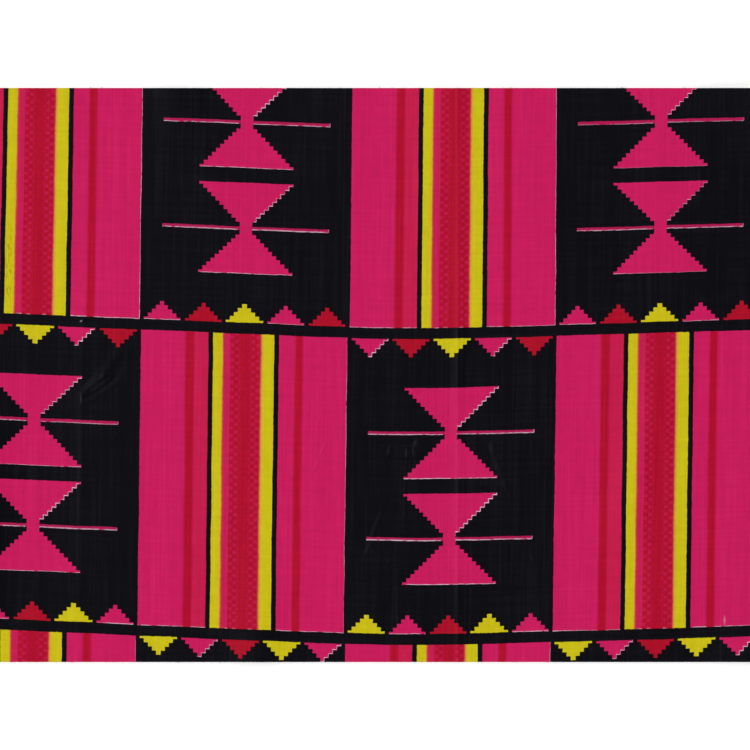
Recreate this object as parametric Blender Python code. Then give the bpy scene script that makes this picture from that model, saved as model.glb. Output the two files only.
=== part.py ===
"""Ankara fabric: one flat cut of printed cotton, lying face up on a level surface.

Frame: metres, +Z up. The origin is on the surface, under the middle of the cloth.
+X runs across the stripes of the print and +Y runs along them, with the warp.

The cloth is one wall. It rests flat on the surface between low ridges: two creases
left by the folds of the bolt, a short bent crease, and the swells of the cut edges.
"""
import math
from collections import namedtuple

import bmesh
import bpy

# The cut piece.
CLOTH_LENGTH = 0.2914
CLOTH_WIDTH = 0.2138
WALL = 0.001

# Spacing of the sheet's grid lines, and the lines that keep a bolt fold's crest round.
COLUMN_STEP = 0.0055
ROW_STEP = 0.006
LINES_IN_A_FOLD = 6

# Where the cloth stands clear of the surface. Each ridge is named for what makes it. (x, y) is its
# middle, turn its run in degrees clockwise from +Y, half_width its reach to each side and
# half_length its reach to each end. It fades to nothing at both, so the cloth rests between ridges.
Ridge = namedtuple("Ridge", "name x y turn half_width half_length rise")
RIDGES = (
    Ridge("bolt_fold", x=0.0307, y=0.0, turn=0.66, half_width=0.0050, half_length=0.200, rise=0.0009),
    Ridge("outer_fold", x=-0.1108, y=-0.020, turn=0.75, half_width=0.0046, half_length=0.150, rise=0.0006),
    Ridge("bent_crease", x=-0.1009, y=0.001, turn=38, half_width=0.0060, half_length=0.019, rise=0.0007),
    Ridge("slack_right", x=0.0980, y=-0.035, turn=14, half_width=0.0110, half_length=0.055, rise=0.0008),
    Ridge("left_edge", x=-0.1490, y=-0.045, turn=2, half_width=0.0200, half_length=0.075, rise=0.0016),
    Ridge("bottom_edge", x=-0.0450, y=-0.115, turn=6, half_width=0.0140, half_length=0.050, rise=0.0012),
    Ridge("top_edge", x=-0.0750, y=0.116, turn=-8, half_width=0.0120, half_length=0.042, rise=0.0010),
    Ridge("top_corner", x=0.1500, y=0.110, turn=-45, half_width=0.0350, half_length=0.060, rise=0.0022),
    Ridge("low_corner", x=0.1500, y=-0.112, turn=50, half_width=0.0260, half_length=0.045, rise=0.0013),
)
BOLT_FOLDS = ("bolt_fold", "outer_fold")

# Printed cotton, seen as one colour: the pink of the print's ground.
PRINT_PINK = (0.571, 0.0137, 0.107, 1.0)
COTTON_ROUGHNESS = 0.85


def clear_scene():
    """Removes whatever the file opened with."""
    for obj in list(bpy.data.objects):
        bpy.data.objects.remove(obj, do_unlink=True)


def fade(share):
    """One at the crest and nothing from share 1 outwards, level at both."""
    if abs(share) >= 1:
        return 0.0
    return 0.5 + 0.5 * math.cos(math.pi * share)


def ridge_height(ridge, x, y):
    """How far one ridge lifts the cloth at a point."""
    turn = math.radians(ridge.turn)
    aside = (x - ridge.x) * math.cos(turn) - (y - ridge.y) * math.sin(turn)
    along = (x - ridge.x) * math.sin(turn) + (y - ridge.y) * math.cos(turn)
    return ridge.rise * fade(aside / ridge.half_width) * fade(along / ridge.half_length)


def lift(x, y):
    """Height of the cloth's underside above the surface it lies on."""
    return sum(ridge_height(ridge, x, y) for ridge in RIDGES)


def even_lines(length, step):
    """Evenly spaced grid lines from one cut edge to the other."""
    count = round(length / step)
    return [length * (line / count - 0.5) for line in range(count + 1)]


def sheet_columns():
    """Grid lines along the warp, closer together across the two bolt folds."""
    lines = even_lines(CLOTH_LENGTH, COLUMN_STEP)
    for fold in (ridge for ridge in RIDGES if ridge.name in BOLT_FOLDS):
        reach = fold.half_width + COLUMN_STEP / 2
        lines = [x for x in lines if abs(x - fold.x) > reach]
        width = 2 * fold.half_width
        lines += [fold.x + x for x in even_lines(width, width / LINES_IN_A_FOLD)]
    return sorted(lines)


def laid_wall(columns, rows):
    """The sheet on its grid lines, lifted by the ridges and raised to a closed wall."""
    bm = bmesh.new()
    across = len(columns) - 1
    down = len(rows) - 1
    bmesh.ops.create_grid(bm, x_segments=across, y_segments=down, size=0.5)
    for vert in bm.verts:
        x = columns[round((vert.co.x + 0.5) * across)]
        y = rows[round((vert.co.y + 0.5) * down)]
        vert.co = (x, y, lift(x, y))
    bmesh.ops.triangulate(bm, faces=bm.faces[:])
    raised = bmesh.ops.extrude_face_region(bm, geom=bm.faces[:])["geom"]
    top = [item for item in raised if isinstance(item, bmesh.types.BMVert)]
    bmesh.ops.translate(bm, verts=top, vec=(0, 0, WALL))
    bmesh.ops.recalc_face_normals(bm, faces=bm.faces[:])
    return bm


def cotton_material():
    """Matt printed cotton."""
    material = bpy.data.materials.new("printed_cotton")
    material.use_nodes = True
    shader = material.node_tree.nodes["Principled BSDF"]
    shader.inputs["Base Color"].default_value = PRINT_PINK
    shader.inputs["Roughness"].default_value = COTTON_ROUGHNESS
    shader.inputs["Metallic"].default_value = 0.0
    return material


def add_panel():
    """The whole cut piece, as one object."""
    bm = laid_wall(sheet_columns(), even_lines(CLOTH_WIDTH, ROW_STEP))
    mesh = bpy.data.meshes.new("printed_panel")
    bm.to_mesh(mesh)
    bm.free()
    mesh.shade_smooth()
    mesh.set_sharp_from_angle(angle=math.radians(40))
    mesh.materials.append(cotton_material())
    panel = bpy.data.objects.new("printed_panel", mesh)
    bpy.context.collection.objects.link(panel)


clear_scene()
add_panel()
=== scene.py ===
"""The looks of a flat cut of printed ankara cotton: its weave, its print, its cut edges and its folds.

Metres, +Z up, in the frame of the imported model: the origin is on the surface under the cloth's middle,
+X runs across the print's stripes and +Y along them, towards the top of the picture.
"""
import math
import random
from collections import namedtuple

import bpy
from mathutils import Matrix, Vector


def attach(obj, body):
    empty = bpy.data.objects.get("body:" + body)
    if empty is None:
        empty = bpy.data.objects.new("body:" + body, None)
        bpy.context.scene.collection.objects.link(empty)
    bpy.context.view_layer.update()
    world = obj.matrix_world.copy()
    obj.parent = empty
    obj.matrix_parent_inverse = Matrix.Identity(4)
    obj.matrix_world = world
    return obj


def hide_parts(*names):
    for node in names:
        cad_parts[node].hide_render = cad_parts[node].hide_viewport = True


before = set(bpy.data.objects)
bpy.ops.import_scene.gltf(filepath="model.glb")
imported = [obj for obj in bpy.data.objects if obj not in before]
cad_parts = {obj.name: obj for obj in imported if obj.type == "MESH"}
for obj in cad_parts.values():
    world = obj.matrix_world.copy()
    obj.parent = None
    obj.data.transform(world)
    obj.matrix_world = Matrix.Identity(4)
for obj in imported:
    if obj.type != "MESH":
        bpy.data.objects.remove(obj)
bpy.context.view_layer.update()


# Printed panel
# The one piece: a rectangle of plain-weave cotton, cut from the bolt and printed on its face with
# screens of pink, red, yellow and black. It lies loose, face up. It still has two folds of the bolt,
# a bent crease, and swells where its cut edges don't quite settle.
CLOTH_LENGTH = 0.2914
CLOTH_WIDTH = 0.2138
CLOTH_THICKNESS = 0.00045
GRID_STEP = 0.00135
FOLD_GRID_STEP = 0.0005
SHARP_ANGLE = 40

# Where the cloth stands clear of the surface: the solid's ridges, with its two folds and its crease
# lower, sharper and a little to the side. (x, y) is the middle, turn the run in degrees clockwise
# from +Y, and half_width and half_length the reach to each side and end. A press of more than 1
# sharpens the crest, as on a fold that the bolt's weight has pressed.
Ridge = namedtuple("Ridge", "name x y turn half_width half_length rise press")
RIDGES = (
    Ridge("bolt_fold", 0.0313, 0.0, 0.0, 0.0050, 0.200, 0.00035, 3),
    Ridge("outer_fold", -0.1105, -0.020, 0.75, 0.0046, 0.150, 0.00012, 3),
    Ridge("bent_crease", -0.1003, -0.0002, 40, 0.0052, 0.019, 0.0004, 2),
    Ridge("slack_right", 0.0980, -0.035, 14, 0.0110, 0.055, 0.0008, 1),
    Ridge("left_edge", -0.1490, -0.045, 2, 0.0200, 0.075, 0.0016, 1),
    Ridge("bottom_edge", -0.0450, -0.115, 6, 0.0140, 0.050, 0.0012, 1),
    Ridge("top_edge", -0.0750, 0.116, -8, 0.0120, 0.042, 0.0010, 1),
    Ridge("top_corner", 0.1500, 0.110, -45, 0.0350, 0.060, 0.0022, 1),
    Ridge("low_corner", 0.1500, -0.112, 50, 0.0260, 0.045, 0.0013, 1),
)


def fade(share):
    """One at the crest and nothing from share 1 outwards, level at both."""
    if abs(share) >= 1:
        return 0.0
    return 0.5 + 0.5 * math.cos(math.pi * share)


def lift(x, y):
    """Height of the cloth's underside above the surface it lies on."""
    height = 0.0
    for ridge in RIDGES:
        turn = math.radians(ridge.turn)
        aside = (x - ridge.x) * math.cos(turn) - (y - ridge.y) * math.sin(turn)
        along = (x - ridge.x) * math.sin(turn) + (y - ridge.y) * math.cos(turn)
        across = fade(aside / ridge.half_width) ** ridge.press
        height += ridge.rise * across * fade(along / ridge.half_length)
    return height


# The print's own grid: blocks side by side, and rows of blocks between dark bands.
BLOCK_WIDTH = 0.07734
ROW_HEIGHT = 0.11403

# The weft bows. The first band is lowest near (BOW_X, BOW_Y) and climbs from there to both sides, at
# slopes that it comes to over BOW_REACH.
BOW_X = 0.00991
BOW_Y = 0.01546
BOW_REACH = 0.02142
BOW_LEFT = 0.0431
BOW_RIGHT = 0.0305

# The warp leans: where each block's left side runs, in x, at three heights of the cloth.
LEAN_HEIGHTS = (0.1069, 0.0186, -0.0957)
BlockSide = namedtuple("BlockSide", "top middle bottom")
BLOCK_SIDES = (
    BlockSide(top=-0.1637, middle=-0.1658, bottom=-0.1669),
    BlockSide(top=-0.0862, middle=-0.0874, bottom=-0.0887),
    BlockSide(top=-0.0087, middle=-0.0098, bottom=-0.0113),
    BlockSide(top=0.0680, middle=0.0675, bottom=0.0659),
    BlockSide(top=0.1453, middle=0.1446, bottom=0.1432),
    BlockSide(top=0.2226, middle=0.2221, bottom=0.2205),
)


def block_side(side, y):
    """x of one side of the blocks at a height, straight between the three that are given."""
    top, middle, bottom = LEAN_HEIGHTS
    if y > middle:
        share = (y - middle) / (top - middle)
        return side.middle + (side.top - side.middle) * share
    share = (y - middle) / (bottom - middle)
    return side.middle + (side.bottom - side.middle) * share


def print_place(x, y):
    """Where a point of the laid cloth is on the straight print: across the blocks, and above band 1."""
    sides = [block_side(side, y) for side in BLOCK_SIDES]
    block = max(index for index, side in enumerate(sides[:-1]) if index == 0 or side <= x)
    share = (x - sides[block]) / (sides[block + 1] - sides[block])
    out = x - BOW_X
    bow = (BOW_LEFT + BOW_RIGHT) / 2 * (math.hypot(out, BOW_REACH) - BOW_REACH)
    band = BOW_Y + bow - (BOW_LEFT - BOW_RIGHT) / 2 * out
    return (block + share) * BLOCK_WIDTH, y - band


def grid_lines(length, step):
    """Evenly spaced lines from one cut edge to the other."""
    count = round(length / step)
    return [length * (line / count - 0.5) for line in range(count + 1)]


def sheet_columns():
    """Grid lines along the warp, closer together across the two folds of the bolt."""
    columns = grid_lines(CLOTH_LENGTH, GRID_STEP)
    for fold in RIDGES[:2]:
        columns = [x for x in columns if abs(x - fold.x) > fold.half_width + GRID_STEP / 2]
        columns += [fold.x + x for x in grid_lines(2 * fold.half_width, FOLD_GRID_STEP)]
    return sorted(columns)


def deselect_all():
    """Leaves nothing selected, in object mode."""
    for obj in bpy.context.selected_objects:
        obj.select_set(False)


columns = sheet_columns()
rows = grid_lines(CLOTH_WIDTH, GRID_STEP)
deselect_all()
bpy.ops.mesh.primitive_grid_add(x_subdivisions=len(columns) - 1, y_subdivisions=len(rows) - 1, size=1)
panel = bpy.context.object
panel.name = panel.data.name = "ankara_panel"
for vert in panel.data.vertices:
    x = columns[round((vert.co.x + 0.5) * (len(columns) - 1))]
    y = rows[round((vert.co.y + 0.5) * (len(rows) - 1))]
    vert.co = (x, y, lift(x, y))

print_map = panel.data.uv_layers[0]
print_map.name = "print"
for loop in panel.data.loops:
    x, y = panel.data.vertices[loop.vertex_index].co.xy
    print_map.data[loop.index].uv = print_place(x, y)

# The sides of the cloth, in the order of their materials: how much of the dye shows, and how rough.
FACE, BACK, CUT_EDGE = range(3)
Side = namedtuple("Side", "material dye roughness")
SIDES = (
    Side("cotton face", 1.0, 0.47),
    Side("cotton back", 0.55, 0.70),
    Side("cut edge", 0.75, 0.80),
)

wall = panel.modifiers.new("cotton wall", "SOLIDIFY")
wall.thickness = CLOTH_THICKNESS
wall.offset = 1
wall.material_offset = BACK
wall.material_offset_rim = CUT_EDGE
for side in SIDES:
    panel.data.materials.append(bpy.data.materials.new(side.material))
bpy.ops.object.modifier_apply(modifier=wall.name)
bpy.ops.object.shade_smooth_by_angle(angle=math.radians(SHARP_ANGLE))

# The bake map: the face undistorted across its top, the back pressed into a band below it, and the
# four cut edges in strips between the two.
BAKE_SIDES = (0.002, 0.998)
BAKE_FACE = (0.262, 0.998)
BAKE_BACK = (0.002, 0.246)
BAKE_EDGES = 0.249
BAKE_EDGE_PITCH = 0.003
BAKE_EDGE_HEIGHT = 0.002


def between(ends, share):
    """A value at a share of the way between two."""
    return ends[0] + (ends[1] - ends[0]) * share


def bake_place(polygon, place):
    """Where a point of one of the panel's faces lies on the bake map."""
    across = place.x / CLOTH_LENGTH + 0.5
    along = place.y / CLOTH_WIDTH + 0.5
    if polygon.material_index == FACE:
        return between(BAKE_SIDES, across), between(BAKE_FACE, along)
    if polygon.material_index == BACK:
        return between(BAKE_SIDES, across), between(BAKE_BACK, along)
    on_side = abs(polygon.normal.x) > abs(polygon.normal.y)
    strip = (2 if on_side else 0) + (1 if polygon.normal.x + polygon.normal.y > 0 else 0)
    up = BAKE_EDGE_HEIGHT if place.z > polygon.center.z else 0.0
    return between(BAKE_SIDES, along if on_side else across), BAKE_EDGES + strip * BAKE_EDGE_PITCH + up


bake_map = panel.data.uv_layers.new(name="OFBake")
for polygon in panel.data.polygons:
    for loop in polygon.loop_indices:
        place = panel.data.vertices[panel.data.loops[loop].vertex_index].co
        bake_map.data[loop].uv = bake_place(polygon, place)
panel.data.uv_layers["print"].active_render = True


class Amount:
    """A number or colour that changes over the cloth. Arithmetic on it adds Math nodes to its tree."""

    def __init__(self, socket):
        self.socket = socket
        self.tree = socket.id_data

    def step(self, operation, *others):
        """One Math node, with this amount first."""
        node = self.tree.nodes.new("ShaderNodeMath")
        node.operation = operation
        for place, value in zip(node.inputs, (self, *others)):
            feed(place, value)
        return Amount(node.outputs[0])

    def __add__(self, other):
        return self.step("ADD", other)

    def __sub__(self, other):
        return self.step("SUBTRACT", other)

    def __rsub__(self, other):
        return self.step("MULTIPLY_ADD", -1, other)

    def __mul__(self, other):
        return self.step("MULTIPLY", other)

    def __truediv__(self, other):
        return self.step("DIVIDE", other)

    def __abs__(self):
        return self.step("ABSOLUTE")

    def floor(self):
        return self.step("FLOOR")

    def at_most(self, other):
        return self.step("MINIMUM", other)

    def at_least(self, other):
        return self.step("MAXIMUM", other)

    def wave(self, length):
        """A sine with this length."""
        return (self * (math.tau / length)).step("SINE")


def feed(place, value):
    """Gives a socket an amount or a plain value."""
    if isinstance(value, Amount):
        place.id_data.links.new(value.socket, place)
    else:
        place.default_value = value


def soft_edge(value, outside, inside):
    """Nothing where value is at outside, 1 where it is at inside, and smooth between them."""
    node = value.tree.nodes.new("ShaderNodeMapRange")
    node.interpolation_type = "SMOOTHSTEP"
    feed(node.inputs["Value"], value)
    feed(node.inputs["From Min"], outside)
    feed(node.inputs["From Max"], inside)
    return Amount(node.outputs["Result"])


def beyond(value, start, edge):
    """1 where value is more than start, with an edge of this softness."""
    return soft_edge(value, start - edge / 2, start + edge / 2)


def within(value, half_width, edge):
    """1 where value is nearer nothing than half_width, with an edge of this softness."""
    return soft_edge(abs(value), half_width + edge / 2, half_width - edge / 2)


def layer(under, over, share):
    """One colour laid over another by a share."""
    tree = next(value.tree for value in (share, under, over) if isinstance(value, Amount))
    node = tree.nodes.new("ShaderNodeMix")
    node.data_type = "RGBA"
    for place, value in ((0, share), (6, under), (7, over)):
        feed(node.inputs[place], value)
    return Amount(node.outputs[2])


def new_group(name, outputs):
    """An empty shader node group that reads a place. Returns it, that place and its output sockets."""
    tree = bpy.data.node_groups.new(name, "ShaderNodeTree")
    tree.interface.new_socket("Place", in_out="INPUT", socket_type="NodeSocketVector")
    for label, kind in outputs.items():
        tree.interface.new_socket(label, in_out="OUTPUT", socket_type="NodeSocket" + kind)
    place = Amount(tree.nodes.new("NodeGroupInput").outputs["Place"])
    return tree, place, tree.nodes.new("NodeGroupOutput").inputs


def use_group(group, place):
    """A group put in the tree of a place. Returns its outputs as amounts."""
    node = place.tree.nodes.new("ShaderNodeGroup")
    node.node_tree = group
    feed(node.inputs["Place"], place)
    return {socket.name: Amount(socket) for socket in node.outputs}


def split(vector):
    """The x and y of a vector amount."""
    node = vector.tree.nodes.new("ShaderNodeSeparateXYZ")
    feed(node.inputs[0], vector)
    return Amount(node.outputs[0]), Amount(node.outputs[1])


def mapped(vector, kind="POINT", location=(0, 0, 0), turn=0.0, scale=(1, 1, 1)):
    """A place moved, turned in degrees and scaled. A kind of TEXTURE does it to the pattern instead."""
    node = vector.tree.nodes.new("ShaderNodeMapping")
    node.vector_type = kind
    node.inputs["Location"].default_value = location
    node.inputs["Rotation"].default_value = (0, 0, math.radians(turn))
    node.inputs["Scale"].default_value = scale
    feed(node.inputs["Vector"], vector)
    return Amount(node.outputs[0])


def noise(vector, scale, detail=2.0, stretch=(1, 1, 1), shift=(0, 0, 0)):
    """Noise about nothing, from about -0.5 to 0.5, with so many features a metre."""
    node = vector.tree.nodes.new("ShaderNodeTexNoise")
    node.noise_dimensions = "2D"
    node.inputs["Scale"].default_value = scale
    node.inputs["Detail"].default_value = detail
    feed(node.inputs["Vector"], mapped(vector, location=shift, scale=stretch))
    return Amount(node.outputs["Fac"]) - 0.5


# The inks, as linear colours, the bare cotton, and cotton that the inks beside it have stained.
PINK = (0.556, 0.0085, 0.0985, 1)
DULL_PINK = (0.537, 0.0090, 0.068, 1)
STRIP_PINK = (0.543, 0.0087, 0.083, 1)
CRIMSON = (0.412, 0.0016, 0.0225, 1)
TOOTH_RED = (0.392, 0.0018, 0.0175, 1)
YELLOW = (0.568, 0.487, 0.0054, 1)
ORANGE = (0.680, 0.300, 0.0350, 1)
BROWN_RED = (0.445, 0.0300, 0.0340, 1)
BLACK = (0.0012, 0.0009, 0.0030, 1)
BARE_COTTON = (0.78, 0.75, 0.74, 1)
STAINED_COTTON = (0.71, 0.50, 0.61, 1)
INK_EDGE = 0.0002

# The stripes of a striped block, from its left side: where each begins, its ink, how far that ink
# and the one before it run into each other, and whether the pink screen prints it.
Stripe = namedtuple("Stripe", "start ink blend pink_screen")
STRIPES = (
    Stripe(0.00000, PINK, 0.0001, True),
    Stripe(0.01695, CRIMSON, 0.0009, False),
    Stripe(0.02015, DULL_PINK, 0.0009, True),
    Stripe(0.02624, YELLOW, 0.0001, False),
    Stripe(0.03030, ORANGE, 0.0005, False),
    Stripe(0.03075, BROWN_RED, 0.0004, False),
    Stripe(0.03140, STRIP_PINK, 0.0004, True),
    Stripe(0.04405, BROWN_RED, 0.0006, False),
    Stripe(0.04495, ORANGE, 0.0004, False),
    Stripe(0.04570, YELLOW, 0.0005, False),
    Stripe(0.05066, PINK, 0.0001, True),
    Stripe(0.05748, CRIMSON, 0.0009, False),
    Stripe(0.06040, PINK, 0.0009, True),
)

# The black on a striped block: it leaves this width free between the block's two sides, a little
# further right above band 1, and draws two lines beside the yellow. The bands between rows are black.
STRIPED_MIDDLE = 0.03856
STRIPED_HALF_WIDTH = 0.03831
UPPER_ROW_SHIFT = 0.00013
DarkLine = namedtuple("DarkLine", "middle half_width")
DARK_LINES = (
    DarkLine(0.02624, 0.00088),
    DarkLine(0.05066, 0.00091),
)
BAND_HALF_WIDTH = 0.0020

# The wide stripe: a crimson core, and at each side of it two columns of round dots, staggered. A dot
# is pink with some crimson in it. Its edge lies between two heights of the waves that draw it.
CORE_MIDDLE = 0.03899
CORE_HALF_WIDTH = 0.00180
DOTTED_HALF_WIDTH = 0.00545
DOT_COLUMN = 0.00466
DOT_COLUMN_PITCH = 0.003352
DOT_PITCH = 0.002816
FIRST_DOT = 0.00055
DOT_INSIDE = 0.75
DOT_OUTSIDE = -0.25
DOT_CRIMSON = 0.4
WIDE_STRIPE_EDGE = 0.0004

# The figures of a dark block, which are drawn in steps: two hourglasses, each on a line, and five
# teeth on each band. Ink from both sides runs into a line, as it is thin. Yellow teeth are a little
# larger and higher than the others. Past the teeth's zone, all figures are pink.
STEP = 0.001515
FIGURE_MIDDLE = 0.03867
HOURGLASS_TOP = 0.02030
HOURGLASS_PITCH = 0.03945
HOURGLASS_HEIGHT = 0.03388
HOURGLASS_HALF_WIDTH = 0.01747
HOURGLASS_FIRST_STEP = 0.00088
WAIST_HALF_WIDTH = 0.00230
CROSS_LINE_HALF_LENGTH = 0.03097
CROSS_LINE_HALF_WIDTH = 0.00061
CROSS_LINE_SHARE = 0.74
TOOTH_MIDDLE = 0.03865
TOOTH_PITCH = 0.01531
TOOTH_BASE = 0.00213
TOOTH_HALF_WIDTH = 0.00680
TOOTH_FIRST_STEP = 0.00290
TOOTH_TIP = 0.00895
TOOTH_ZONE = 0.01074
YELLOW_GROWN = 0.00015
YELLOW_HIGHER = 0.0001

# The pink screen lies off to the left and up, and its shapes have a little spread. Its steps come in
# late, so pink covers the black's steps, except on the sides away from the shift, which face down and
# to the right, where they come in almost with the black's. Cotton shows there, under the figures and
# in a hair line above the bands. The second hourglass's line is printed a little higher in pink.
PINK_SHIFT = 0.00033
PINK_SPREAD = 0.00019
PINK_LATE = 0.0012
PINK_LATE_AWAY = 0.00006
PINK_RIGHT_SIDE = 0.07718
PINK_LINE_HIGHER = 0.00013

# The cloth slipped under the pink screen, so the shift is more or less round these places.
Slip = namedtuple("Slip", "right up more")
SLIPS = (
    Slip(0.1933, -0.057, 0.00010),
    Slip(0.2707, 0.057, -0.00013),
)
SLIP_REACH = 0.07

# How far the edges of the print wander, in long swings and from yarn to yarn, how far the pink
# screen's shift does, and how much of the cotton that pink misses has taken up ink, in blotches.
PRINT_SWING = 0.0005
PRINT_JITTER = 0.0003
SHIFT_SWING = 0.0003
RUN_IN_SHARE = 0.19
RUN_IN_CONTRAST = 4.0


def narrowing(depth, first_step, aside, above, on_pink):
    """How many steps a side has come in at a depth. Above is more than 0 where sides face down."""
    if on_pink:
        faces_away = aside.step("GREATER_THAN", 0.0) * above.step("GREATER_THAN", 0.0)
        depth = depth + faces_away * (PINK_LATE - PINK_LATE_AWAY) - PINK_LATE
    return ((depth - first_step) / STEP + 1).floor()


def hourglasses(across, down, on_pink):
    """Where the two hourglasses and their lines are, in the black or on the pink screen."""
    spread = PINK_SPREAD if on_pink else 0.0
    between_them = HOURGLASS_TOP + (HOURGLASS_HEIGHT + HOURGLASS_PITCH) / 2
    second = down.step("GREATER_THAN", between_them)
    depth = down - HOURGLASS_TOP - second * HOURGLASS_PITCH
    from_end = depth.at_most(HOURGLASS_HEIGHT - depth)
    aside = across - FIGURE_MIDDLE
    steps = narrowing(from_end, HOURGLASS_FIRST_STEP, aside, HOURGLASS_HEIGHT / 2 - depth, on_pink)
    half_width = HOURGLASS_HALF_WIDTH + spread - steps * STEP
    half_width = half_width.at_least(WAIST_HALF_WIDTH + spread * 2)
    body = within(aside, half_width, INK_EDGE) * beyond(from_end, -spread, INK_EDGE)
    line = within(aside, CROSS_LINE_HALF_LENGTH + spread, INK_EDGE)
    below = depth - HOURGLASS_HEIGHT / 2
    if on_pink:
        below = below + second * PINK_LINE_HIGHER
    line = line * within(below, CROSS_LINE_HALF_WIDTH + spread / 2, INK_EDGE)
    return body.at_least(line if on_pink else line * CROSS_LINE_SHARE)


def teeth(across, down, rank, grown, on_pink):
    """Where the teeth along the bands are, grown by so much, in the black or on the pink screen."""
    spread = PINK_SPREAD if on_pink else 0.0
    from_band = down.at_most(ROW_HEIGHT - down)
    aside = across - TOOTH_MIDDLE - (rank - 2) * TOOTH_PITCH
    steps = narrowing(from_band, TOOTH_FIRST_STEP, aside, ROW_HEIGHT / 2 - down, on_pink)
    half_width = grown + (TOOTH_HALF_WIDTH + spread) - steps * STEP
    base = beyond(from_band, TOOTH_BASE - spread, INK_EDGE)
    tip = 1 - beyond(from_band - grown, TOOTH_TIP + spread, INK_EDGE)
    return within(aside, half_width, INK_EDGE) * base * tip


def stripe_ramp(across):
    """The stripes' inks by a place across the block. Alpha is 1 where the pink screen prints."""
    node = across.tree.nodes.new("ShaderNodeValToRGB")
    stops = node.color_ramp.elements
    before = STRIPES[-1]
    for stripe in STRIPES:
        half_blend = stripe.blend / 2
        for place, inked in ((stripe.start - half_blend, before), (stripe.start + half_blend, stripe)):
            stop = stops.new(max(place, 0) / BLOCK_WIDTH)
            stop.color = (*inked.ink[:3], 1.0 if inked.pink_screen else 0.0)
        before = stripe
    # The two stops that a new ramp comes with.
    stops.remove(stops[0])
    stops.remove(stops[-1])
    feed(node.inputs[0], across / BLOCK_WIDTH)
    return Amount(node.outputs["Color"]), Amount(node.outputs["Alpha"])


# The print as a node group. It reads the straight print's own place, in metres, and gives the colour,
# and how much black ink there is.
print_group, place, printed = new_group("ankara print", {"Color": "Color", "Black": "Float"})
right, up = split(place)
right = right + noise(place, 60, detail=5.0) * PRINT_SWING
right = right + noise(place, 700, shift=(2.7, 8.3, 0)) * PRINT_JITTER
up = up + noise(place, 60, detail=5.0, shift=(3.1, 7.7, 0)) * PRINT_SWING
up = up + noise(place, 700) * PRINT_JITTER
block = (right / BLOCK_WIDTH).floor()
row = (up / -ROW_HEIGHT).floor()
across = right - block * BLOCK_WIDTH
down = (row * -ROW_HEIGHT) - up
band = (up / -ROW_HEIGHT + 0.5).floor()
from_band = down.at_most(ROW_HEIGHT - down)
striped = (block + row).step("FLOORED_MODULO", 2.0)

pink_shift = noise(place, 25, detail=1.0, shift=(5.3, 1.9, 0)) * SHIFT_SWING + PINK_SHIFT
for slip in SLIPS:
    near_across = soft_edge(abs(right - slip.right), SLIP_REACH, 0.0)
    near = near_across * soft_edge(abs(up - slip.up), SLIP_REACH, 0.0)
    pink_shift = pink_shift + near * slip.more
pink_across = across + pink_shift
pink_down = down + pink_shift
pink_from_band = pink_down.at_most(ROW_HEIGHT - pink_down)

rank = ((across - TOOTH_MIDDLE) / TOOTH_PITCH + 2.5).floor().at_least(0.0).at_most(4.0)
tooth_ink = (rank + band * 2).step("FLOORED_MODULO", 3.0)
pink_tooth = tooth_ink.step("LESS_THAN", 0.5)
yellow_tooth = tooth_ink.step("GREATER_THAN", 1.5)
by_a_band = from_band.step("LESS_THAN", TOOTH_ZONE)

tooth_down = down + yellow_tooth * YELLOW_HIGHER
tooth_holes = teeth(across, tooth_down, rank, yellow_tooth * YELLOW_GROWN, False)
holes = hourglasses(across, down, False).at_least(tooth_holes)
pink_ink = hourglasses(pink_across, pink_down, True)
pink_teeth = teeth(pink_across, pink_down, rank, 0.0, True) * pink_tooth
pink_ink = pink_ink.at_least(pink_teeth)
run_in = noise(place, 400, detail=3.0, shift=(4.4, 2.2, 0)) * RUN_IN_CONTRAST + RUN_IN_SHARE
run_in = run_in.at_least(0.0).at_most(1.0)
figures = layer(STAINED_COTTON, PINK, pink_ink.at_least(run_in))
figures = layer(figures, layer(TOOTH_RED, YELLOW, yellow_tooth), by_a_band * (1 - pink_tooth))

stripes, pink_printed = stripe_ramp(across)
pink_covers = 1 - beyond(pink_across, PINK_RIGHT_SIDE, INK_EDGE)
pink_covers = pink_covers * beyond(pink_from_band, BAND_HALF_WIDTH - PINK_SPREAD, INK_EDGE)
stripes = layer(stripes, STAINED_COTTON, pink_printed * (1 - pink_covers.at_least(run_in)))
from_core = abs(across - CORE_MIDDLE)
dots = (from_core - DOT_COLUMN + DOT_COLUMN_PITCH / 4).wave(DOT_COLUMN_PITCH)
dots = dots * (down - FIRST_DOT + DOT_PITCH / 4).wave(DOT_PITCH)
dotted = soft_edge(dots, DOT_INSIDE, DOT_OUTSIDE) * (1 - DOT_CRIMSON) + DOT_CRIMSON
dotted = within(from_core, DOTTED_HALF_WIDTH, WIDE_STRIPE_EDGE) * dotted
core = within(from_core, CORE_HALF_WIDTH, WIDE_STRIPE_EDGE)
stripes = layer(stripes, CRIMSON, dotted.at_least(core))

row_shift = up.step("GREATER_THAN", 0.0) * UPPER_ROW_SHIFT
lines = 1 - within(across - STRIPED_MIDDLE - row_shift, STRIPED_HALF_WIDTH, INK_EDGE)
for line in DARK_LINES:
    lines = lines.at_least(within(across - line.middle, line.half_width, INK_EDGE))
black = (1 - holes) * (1 - striped) + lines * striped
black = black.at_least(within(from_band, BAND_HALF_WIDTH, INK_EDGE))
feed(printed["Color"], layer(layer(figures, stripes, striped), BLACK, black))
feed(printed["Black"], black)

# Plain weave, and the yarns' own unevenness, in the same place on the cloth. Height is in metres, the
# tone is about 1, and Thin is the share of cotton that shows through the ink. A yarn's crown is
# highest where it crosses over the other, and dips to both sides by a share of its height. The tone is
# the yarns' own unevenness and a painted shade, which darkens the colour in the hollows between crowns.
WARP_PITCH = 0.00027
WEFT_PITCH = 0.00029
YARN_SWAY = 0.0002
YARN_RELIEF = 0.000022
CROWN_DIP = 0.4
# How much lighter the yarns' crowns are than the hollows between them, a painted shade, and the tone in
# the hollows.
YARN_HOLLOW_SHADE = 0.10
PLAIN_TONE = 0.94
PLAIN_THIN = 0.0006

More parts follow.
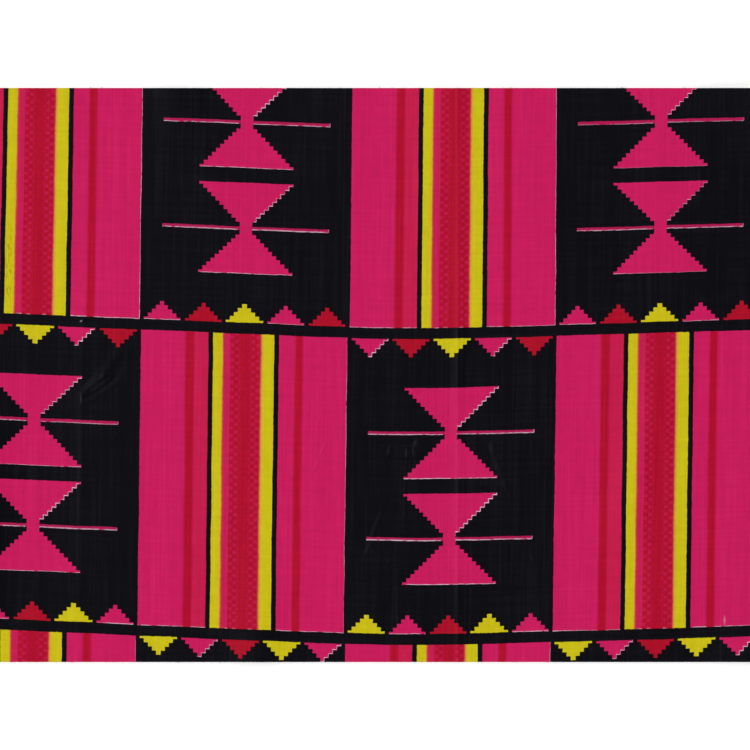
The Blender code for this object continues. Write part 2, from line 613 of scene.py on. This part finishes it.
# What is uneven: how many features a metre it has across and along, and what it does to the three.
Unevenness = namedtuple("Unevenness", "name across along detail shift height tone thin")
UNEVENNESS = (
    Unevenness("slubs in the warp", 1100, 26, 3.0, (0, 0, 0), 0.00002, 0.18, 0.012),
    Unevenness("slubs in the weft", 26, 1000, 3.0, (11, 5, 0), 0.00002, 0.10, 0.007),
    Unevenness("streaks along the warp", 160, 5, 3.0, (7, 2, 0), 0.0, 0.09, 0.006),
    Unevenness("mottled ink", 260, 260, 4.0, (0, 0, 0), 0.0, 0.16, 0.0),
)
weave_outputs = {"Height": "Float", "Tone": "Float", "Thin": "Float"}
weave_group, place, woven = new_group("plain weave", weave_outputs)
sway = noise(place, 120) * YARN_SWAY
right, up = split(place)
warp = (right + sway).wave(WARP_PITCH * 2)
weft = (up + sway).wave(WEFT_PITCH * 2)
warp_over = (warp * weft).step("GREATER_THAN", 0.0)
warp_crown = abs(warp) * (abs(weft) * CROWN_DIP + (1 - CROWN_DIP))
weft_crown = abs(weft) * (abs(warp) * CROWN_DIP + (1 - CROWN_DIP))
crown = warp_crown * warp_over + weft_crown * (1 - warp_over)
height = crown * YARN_RELIEF
# Painted shade: the colour is darker in the hollows between the yarns' crowns and lighter on them.
tone = crown * YARN_HOLLOW_SHADE + PLAIN_TONE
thin = PLAIN_THIN
for kind in UNEVENNESS:
    amount = noise(place, 1.0, kind.detail, (kind.across, kind.along, 1), kind.shift)
    height = amount * kind.height + height
    tone = amount * kind.tone + tone
    thin = amount * kind.thin + thin
feed(woven["Height"], height)
feed(woven["Tone"], tone)
feed(woven["Thin"], thin.at_least(0.0))

# What handling left, as marks on the laid cloth: (x, y) is a mark's middle, turn its run in degrees
# clockwise from +Y, half_width and half_length its reach, rise its height, and the last how much
# lighter it is. On the scuff and the nick that is ink that is gone. On the folds, the crease and the
# wrinkles it is ink rubbed thin and a painted highlight along the crest.
Mark = namedtuple("Mark", "name x y turn half_width half_length rise worn")
MARKS = (
    Mark("bolt fold's crest", 0.0308, 0.0, 0.0, 0.0012, 0.30, 0.00007, 0.0),
    Mark("bolt fold, worn", 0.0305, 0.0, 0.0, 0.0006, 0.30, 0.0, 0.004),
    Mark("outer fold's crest", -0.1099, -0.020, 0.75, 0.0016, 0.17, 0.0, 0.0035),
    Mark("outer fold, worn", -0.1096, -0.0088, 0.75, 0.0004, 0.0031, 0.0, 0.035),
    Mark("crease at the left, low", -0.1046, -0.0034, 49, 0.0030, 0.0082, 0.00055, 0.0),
    Mark("crease at the left, worn", -0.1021, -0.0004, 32, 0.0008, 0.0022, 0.0, 0.010),
    Mark("hollow beside the crease", -0.1032, -0.0053, 57, 0.0023, 0.0100, -0.00050, 0.0),
    Mark("hollow beside the crease, high", -0.0961, 0.0028, 24, 0.0036, 0.0080, -0.00036, 0.0),
    Mark("pinch left of the waist", 0.0153, -0.0254, 24, 0.0012, 0.0025, 0.00028, 0.007),
    Mark("second pinch", 0.0146, -0.0288, -9, 0.0010, 0.0028, 0.00018, 0.003),
    Mark("third pinch", 0.0121, -0.0292, 2, 0.0011, 0.0028, 0.00018, 0.002),
    Mark("fourth pinch", 0.0054, -0.0283, 12, 0.0012, 0.0036, 0.00018, 0.002),
    Mark("slack right of the waist, high", 0.0438, -0.0274, -8, 0.0016, 0.0040, 0.00030, 0.003),
    Mark("slack right of the waist, middle", 0.0458, -0.0337, -21, 0.0017, 0.0050, 0.00022, 0.001),
    Mark("slack right of the waist, low", 0.0487, -0.0408, -21, 0.0016, 0.0036, 0.00020, 0.001),
    Mark("slack left of the middle, high", -0.0190, -0.0270, 25, 0.0010, 0.0042, 0.00015, 0.003),
    Mark("slack left of the middle, low", -0.0222, -0.0340, 30, 0.0011, 0.0046, 0.00013, 0.002),
    Mark("long slant", -0.0009, -0.0596, 20, 0.0013, 0.0150, 0.00012, 0.002),
    Mark("long slant, low", -0.0025, -0.0644, 28, 0.0010, 0.0030, 0.00005, 0.004),
    Mark("short slant", 0.0587, -0.0680, -18, 0.0009, 0.0034, 0.00010, 0.002),
    Mark("scuff in the pink", 0.1302, -0.0914, 0, 0.0006, 0.0026, 0.0, 0.20),
    Mark("nick by the left fold", -0.1095, 0.0201, 60, 0.0004, 0.0008, 0.0, 0.30),
)
INK_SPECKS = Mark("black specks on a yellow stripe", -0.1363, 0.0405, 1.5, 0.0015, 0.0200, 0.0, 0.0)
SPECKS_STRENGTH = 0.8

# All over, the cloth lies a little uneven and its ink is a little worn.
COCKLE_RISE = 0.0004
WORN_ALL_OVER = 0.001


def mark_share(place, mark):
    """1 at a mark's middle and nothing from its reach outwards, smooth between them."""
    shape = (mark.half_width, mark.half_length, 1)
    near = mapped(place, "TEXTURE", (mark.x, mark.y, 0), -mark.turn, shape)
    flat = near.tree.nodes.new("ShaderNodeVectorMath")
    flat.operation = "MULTIPLY"
    feed(flat.inputs[0], near)
    feed(flat.inputs[1], (1, 1, 0))
    length = near.tree.nodes.new("ShaderNodeVectorMath")
    length.operation = "LENGTH"
    feed(length.inputs[0], Amount(flat.outputs[0]))
    return soft_edge(Amount(length.outputs["Value"]), 1.0, 0.0)


# The marks give height, their lightening, which is rubbed ink and along the folds and creases a painted
# highlight, and ink specks.
marks_and_highlights_outputs = {"Height": "Float", "Worn": "Float", "Specked": "Float"}
marks_and_highlights_group, place, marks_and_highlights_places = new_group("handling marks and painted highlights", marks_and_highlights_outputs)
height = noise(place, 40, shift=(1.3, 4.1, 0)) * COCKLE_RISE
worn = noise(place, 9, shift=(6.1, 0.4, 0)) * WORN_ALL_OVER
for mark in MARKS:
    share = mark_share(place, mark)
    if mark.rise:
        height = height + share * mark.rise
    # Lighter where ink is rubbed away, and along the folds, the crease and the wrinkles also a painted
    # highlight.
    worn = worn + share * mark.worn
feed(marks_and_highlights_places["Height"], height)
feed(marks_and_highlights_places["Worn"], worn.at_least(0.0))
specks = soft_edge(noise(place, 1.0, stretch=(1500, 450, 1), shift=(2, 9, 0)), 0.0, 0.2)
feed(marks_and_highlights_places["Specked"], mark_share(place, INK_SPECKS).at_most(0.5) * specks * SPECKS_STRENGTH)

# Cotton hardly shines. Black ink lies thickest and makes it a little smoother.
COTTON_SPECULAR = 0.075
BLACK_SMOOTHER = 0.05


def cotton_material(material, dye, roughness):
    """Cotton with the print at a strength of dye, on the weave, with its marks of handling, painted
    highlights along its folds and creases, and painted shade between its yarns.
    """
    material.use_nodes = True
    tree = material.node_tree
    shader = tree.nodes["Principled BSDF"]
    uv = tree.nodes.new("ShaderNodeUVMap")
    uv.uv_map = "print"
    place = Amount(uv.outputs[0])
    ink = use_group(print_group, place)
    yarn = use_group(weave_group, place)
    marks_and_highlights = use_group(marks_and_highlights_group, Amount(tree.nodes.new("ShaderNodeTexCoord").outputs["Object"]))
    colour = layer(BARE_COTTON, ink["Color"], dye)
    # Lighter where ink is rubbed away, and along the folds and creases a painted highlight.
    colour = layer(colour, BARE_COTTON, yarn["Thin"] + marks_and_highlights["Worn"])
    colour = layer(colour, BLACK, marks_and_highlights["Specked"])
    # Scaled by the weave's tone, which holds the yarns' own unevenness and a painted shade in the
    # hollows between the yarns.
    toned = tree.nodes.new("ShaderNodeVectorMath")
    toned.operation = "SCALE"
    feed(toned.inputs[0], colour)
    feed(toned.inputs["Scale"], yarn["Tone"])
    feed(shader.inputs["Base Color"], Amount(toned.outputs[0]))
    feed(shader.inputs["Roughness"], ink["Black"] * -BLACK_SMOOTHER + roughness)
    bump = tree.nodes.new("ShaderNodeBump")
    bump.inputs["Distance"].default_value = 1.0
    feed(bump.inputs["Height"], yarn["Height"] + marks_and_highlights["Height"])
    feed(shader.inputs["Normal"], Amount(bump.outputs[0]))
    shader.inputs["Specular IOR Level"].default_value = COTTON_SPECULAR


for material, side in zip(panel.data.materials, SIDES):
    cotton_material(material, side.dye, side.roughness)

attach(panel, "root")
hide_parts("printed_panel")


# Thread ends
# Where the scissors cut the cloth, the ends of its yarns stand out a little, some further than
# others. They are the same dyed cotton yarn, held by the weave, and follow the lift of the edge.
THREAD_RADIUS = 0.00010
THREAD_SIDES = 5
THREAD_ROOT = 0.00015
THREAD_LENGTHS = (0.00002, 0.00011)
THREAD_LEAN = 0.45
LONG_THREAD_SHARE = 0.01
LONG_THREAD_LENGTH = 0.0004
THREAD_GAPS = (1, 1, 2, 3)
THREAD_DYE = 0.80
THREAD_ROUGHNESS = 0.85

# The four cut edges: whether each runs along x, its side of the cloth, its length, its distance from
# the cloth's middle, and how far apart the yarns are that end in it.
Edge = namedtuple("Edge", "along_x side run reach pitch")
EDGES = (
    Edge(True, 1, CLOTH_LENGTH, CLOTH_WIDTH / 2, WARP_PITCH),
    Edge(True, -1, CLOTH_LENGTH, CLOTH_WIDTH / 2, WARP_PITCH),
    Edge(False, 1, CLOTH_WIDTH, CLOTH_LENGTH / 2, WEFT_PITCH),
    Edge(False, -1, CLOTH_WIDTH, CLOTH_LENGTH / 2, WEFT_PITCH),
)
Spot = namedtuple("Spot", "along out rise thickness")


def thread_end(edge, position):
    """The three spots that a thread end runs through, from its root in the cloth to its tip."""
    length = random.uniform(*THREAD_LENGTHS)
    if random.random() < LONG_THREAD_SHARE:
        length = LONG_THREAD_LENGTH
    sideways = random.uniform(-THREAD_LEAN, THREAD_LEAN)
    upward = random.uniform(-THREAD_LEAN, THREAD_LEAN) / 2
    spots = []
    for out, thickness in ((-THREAD_ROOT, 1.0), (length * 0.6, 0.9), (length, 0.45)):
        swing = max(out, 0) ** 2 / length
        along = position + swing * sideways
        spots.append(Spot(along, edge.side * (edge.reach + out), swing * upward, thickness))
    return spots


def thread_ring(edge, spot):
    """The points round a thread end at one of its spots."""
    x, y = (spot.along, spot.out) if edge.along_x else (spot.out, spot.along)
    edge_x = min(max(x, -CLOTH_LENGTH / 2), CLOTH_LENGTH / 2)
    edge_y = min(max(y, -CLOTH_WIDTH / 2), CLOTH_WIDTH / 2)
    z = lift(edge_x, edge_y) + CLOTH_THICKNESS / 2 + spot.rise
    radius = THREAD_RADIUS * spot.thickness
    outward = edge.side if edge.along_x else -edge.side
    points = []
    for corner in range(THREAD_SIDES):
        angle = math.tau * corner / THREAD_SIDES * outward
        aside = radius * math.sin(angle)
        point = (x + aside, y) if edge.along_x else (x, y + aside)
        points.append((*point, z + radius * math.cos(angle)))
    return points


def thread_skin(first):
    """The faces of one thread end whose points start at this number: its sides, root and tip."""
    faces = []
    for ring in (first, first + THREAD_SIDES):
        for corner in range(THREAD_SIDES):
            near = ring + corner
            beside = ring + (corner + 1) % THREAD_SIDES
            faces.append((near, beside, beside + THREAD_SIDES, near + THREAD_SIDES))
    faces.append(tuple(first + THREAD_SIDES - 1 - corner for corner in range(THREAD_SIDES)))
    faces.append(tuple(first + 2 * THREAD_SIDES + corner for corner in range(THREAD_SIDES)))
    return faces


random.seed(7)
thread_points = []
thread_faces = []
thread_roots = []
for edge in EDGES:
    position = -edge.run / 2 + edge.pitch
    while position < edge.run / 2 - edge.pitch:
        thread_faces += thread_skin(len(thread_points))
        for spot in thread_end(edge, position):
            thread_points += thread_ring(edge, spot)
        root = edge.side * (edge.reach - THREAD_ROOT)
        x, y = (position, root) if edge.along_x else (root, position)
        thread_roots.append(print_place(x, y))
        position += edge.pitch * random.choice(THREAD_GAPS)

threads_mesh = bpy.data.meshes.new("thread_ends")
threads_mesh.from_pydata(thread_points, [], thread_faces)
threads_map = threads_mesh.uv_layers.new(name="print")
points_each = len(thread_points) // len(thread_roots)
for loop in threads_mesh.loops:
    threads_map.data[loop.index].uv = thread_roots[loop.vertex_index // points_each]
threads_mesh.materials.append(bpy.data.materials.new("thread end"))
cotton_material(threads_mesh.materials[0], THREAD_DYE, THREAD_ROUGHNESS)
threads = bpy.data.objects.new("thread_ends", threads_mesh)
bpy.context.collection.objects.link(threads)

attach(threads, "root")


# Floor, light and camera
# The cloth lies on a plain white surface with a faint glow, as a light table has, so its edges cast
# hardly a shadow. Even light comes from all round, and leaves the sky above dark, so that the black
# stays black. A soft lamp at the left brings out the folds. The camera looks straight down.
FLOOR_SIZE = 60
FLOOR_DROP = 0.0001
FLOOR_WHITE = 0.96
FLOOR_GLOW = 0.15

deselect_all()
bpy.ops.mesh.primitive_plane_add(size=FLOOR_SIZE, location=(0, 0, -FLOOR_DROP))
floor = bpy.context.object
floor.name = "floor"
white = bpy.data.materials.new("white surface")
white.use_nodes = True
surface = white.node_tree.nodes["Principled BSDF"].inputs
surface["Base Color"].default_value = (FLOOR_WHITE, FLOOR_WHITE, FLOOR_WHITE, 1)
surface["Roughness"].default_value = 1.0
surface["Specular IOR Level"].default_value = 0.0
surface["Emission Color"].default_value = (1, 1, 1, 1)
surface["Emission Strength"].default_value = FLOOR_GLOW
floor.data.materials.append(white)

# The sky is lit up to one angle above the horizon and dark from another, smooth between them. Past
# the floor, the camera sees the backdrop instead.
LIT_UP_TO = 33
DARK_FROM = 45
SIDE_LIGHT = 1.67
TOP_LIGHT = 0.05
BACKDROP = 0.98

world = bpy.data.worlds.new("studio")
world.use_nodes = True
bpy.context.scene.world = world
sky = world.node_tree
direction = sky.nodes.new("ShaderNodeSeparateXYZ")
feed(direction.inputs[0], Amount(sky.nodes.new("ShaderNodeTexCoord").outputs["Generated"]))
upward = Amount(direction.outputs[2])
dark_height = math.sin(math.radians(DARK_FROM))
lit_height = math.sin(math.radians(LIT_UP_TO))
glow = soft_edge(upward, dark_height, lit_height)
to_camera = Amount(sky.nodes.new("ShaderNodeLightPath").outputs["Is Camera Ray"])
background = sky.nodes["Background"]
background.inputs["Color"].default_value = (1, 1, 1, 1)
light = (glow * (SIDE_LIGHT - TOP_LIGHT) + TOP_LIGHT) * (1 - to_camera) + to_camera * BACKDROP
feed(background.inputs["Strength"], light)

LAMP_PLACE = Vector((-3.9, 0.6, 4.6))
LAMP_SIZE = 2.2
LAMP_POWER = 170
lamp_data = bpy.data.lights.new("soft lamp", "AREA")
lamp_data.shape = "DISK"
lamp_data.size = LAMP_SIZE
lamp_data.energy = LAMP_POWER
lamp = bpy.data.objects.new("soft lamp", lamp_data)
lamp.location = LAMP_PLACE
lamp.rotation_euler = LAMP_PLACE.to_track_quat("Z", "Y").to_euler()
bpy.context.collection.objects.link(lamp)

PICTURE_WIDTH = 0.2794
CAMERA_HEIGHT = 4.0
SENSOR_WIDTH = 36
camera_data = bpy.data.cameras.new("camera")
camera_data.sensor_width = SENSOR_WIDTH
camera_data.lens = SENSOR_WIDTH * CAMERA_HEIGHT / PICTURE_WIDTH
camera = bpy.data.objects.new("camera", camera_data)
camera.location = (0, 0, CAMERA_HEIGHT)
bpy.context.collection.objects.link(camera)
bpy.context.scene.camera = camera
bpy.context.scene.view_settings.view_transform = "Standard"
